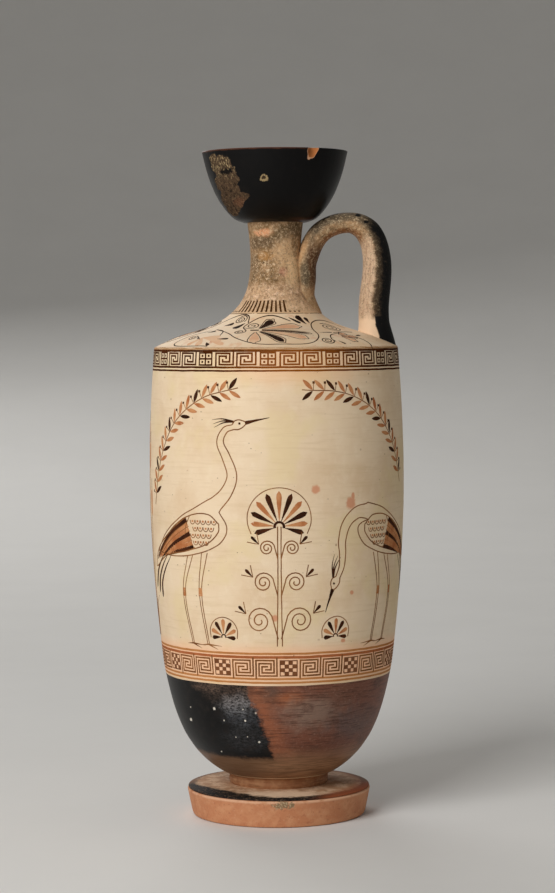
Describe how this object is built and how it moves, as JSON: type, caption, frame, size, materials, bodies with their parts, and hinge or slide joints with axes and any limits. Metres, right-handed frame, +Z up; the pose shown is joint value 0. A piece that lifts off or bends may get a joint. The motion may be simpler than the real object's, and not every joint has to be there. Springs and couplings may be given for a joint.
{
  "type": "lekythos",
  "caption": "Tall ceramic oil flask with a disc foot, a near-cylindrical body, a sloping shoulder, a narrow neck, a cup mouth and one looped strap handle.",
  "frame": {"origin": "centre of the foot's resting ring, on the flask's axis, at table height", "axes": "+Z up the flask's axis, +X towards the handle, +Y away from the front"},
  "size_m": [0.123, 0.123, 0.32],
  "materials": {
    "foot_clay": "fired orange clay with worn dark slip on the upper face",
    "joint_clay": "red-brown slipped clay",
    "white_ground": "cream slip ground, matt, with dark gloss below",
    "shoulder_ground": "cream slip ground, matt",
    "neck_clay": "worn speckled slip over clay",
    "black_gloss": "black gloss slip, worn",
    "handle_gloss": "black gloss slip, worn to brown and beige",
    "slip": "fired joining slip"
  },
  "bodies": {
    "root": {"foot": "foot_clay", "foot_joint_ring": "joint_clay", "body": "white_ground", "shoulder": "shoulder_ground", "neck": "neck_clay", "mouth": "black_gloss", "handle": "handle_gloss", "shoulder_slip_ring": "slip", "neck_slip_ring": "slip", "mouth_slip_ring": "slip", "handle_top_slip_pad": "slip", "handle_foot_slip_pad": "slip"}
  },
  "joints": []
}
